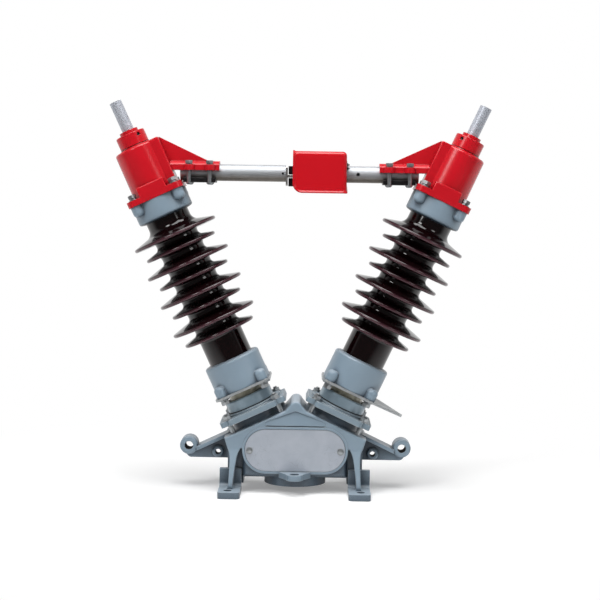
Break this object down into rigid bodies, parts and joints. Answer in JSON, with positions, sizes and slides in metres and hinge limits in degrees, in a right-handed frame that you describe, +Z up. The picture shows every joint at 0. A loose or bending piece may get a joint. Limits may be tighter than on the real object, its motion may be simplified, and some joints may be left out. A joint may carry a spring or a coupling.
{
  "type": "v-type centre-break disconnect switch pole",
  "caption": "Outdoor disconnector pole: porcelain post insulators lean apart on a gear base, and their clamped contact arms meet under a rain hood and swing open.",
  "frame": {"origin": "on the ground under the middle of the base, between the four feet", "axes": "+Z up, +X to the right seen from the front (from the blade post to the finger post), -Y the front with the aluminium cover"},
  "size_m": [0.8752, 0.296, 0.8922],
  "materials": {
    "porcelain": "dark brown glaze, glossy",
    "red_paint": "red enamel on the castings, semi-gloss",
    "red_plastic": "glossy red moulding",
    "grey_paint": "blue-grey enamel, semi-gloss",
    "cover_aluminium": "plain rolled sheet, matt",
    "silver_tube": "bright drawn, satin",
    "zinc_steel": "zinc plated",
    "turned_steel": "machined casting, satin",
    "dark_casting": "dark bare casting",
    "contact_black": "blackened contact steel",
    "galvanised_steel": "hot-dip galvanised"
  },
  "bodies": {
    "base": {"base_housing": "grey_paint", "cover_plate": "cover_aluminium", "left_bearing_seat": "grey_paint", "left_levelling_studs": "zinc_steel", "right_bearing_seat": "grey_paint", "right_levelling_studs": "zinc_steel"},
    "left_pole": {"contact_blade": "silver_tube", "left_adapter_plate": "galvanised_steel", "left_arm_tube": "silver_tube", "left_cap_bolts": "zinc_steel", "left_clamp_bar": "dark_casting", "left_clamp_bolts": "zinc_steel", "left_contact_housing": "red_paint", "left_housing_bolts": "zinc_steel", "left_insulator": "porcelain", "left_lower_cap": "grey_paint", "left_turntable": "turned_steel", "left_upper_cap": "grey_paint"},
    "right_pole": {"drive_lever": "galvanised_steel", "finger_block": "contact_black", "lower_finger": "contact_black", "rain_hood": "red_plastic", "right_arm_tube": "silver_tube", "right_cap_bolts": "zinc_steel", "right_clamp_bar": "dark_casting", "right_clamp_bolts": "zinc_steel", "right_contact_housing": "red_paint", "right_housing_bolts": "zinc_steel", "right_insulator": "porcelain", "right_lower_cap": "grey_paint", "right_turntable": "turned_steel", "right_upper_cap": "grey_paint", "upper_finger": "contact_black"},
    "left_terminal": {"left_terminal_collar": "red_paint", "left_terminal_rod": "silver_tube"},
    "right_terminal": {"right_terminal_collar": "red_paint", "right_terminal_rod": "silver_tube"}
  },
  "joints": [
    {"name": "right_post_turn", "type": "hinge", "parent": "base", "child": "right_pole", "pos_m": [0, 0, -0.025], "axis": [0.4226, 0, 0.9063], "range_deg": [0, 90]},
    {"name": "left_post_turn", "type": "hinge", "parent": "base", "child": "left_pole", "pos_m": [0, 0, -0.025], "axis": [0.4226, 0, -0.9063], "range_deg": [0, 90]},
    {"name": "left_terminal_swivel", "type": "hinge", "parent": "left_pole", "child": "left_terminal", "pos_m": [-0.37888, 0, 0.78751], "axis": [-0.4226, 0, 0.9063], "range_deg": [-90, 90]},
    {"name": "right_terminal_swivel", "type": "hinge", "parent": "right_pole", "child": "right_terminal", "pos_m": [0.37888, 0, 0.78751], "axis": [0.4226, 0, 0.9063], "range_deg": [-90, 90]}
  ],
  "couplings": [
    {"joint": "left_post_turn", "follows": "right_post_turn", "ratio": 1}
  ]
}
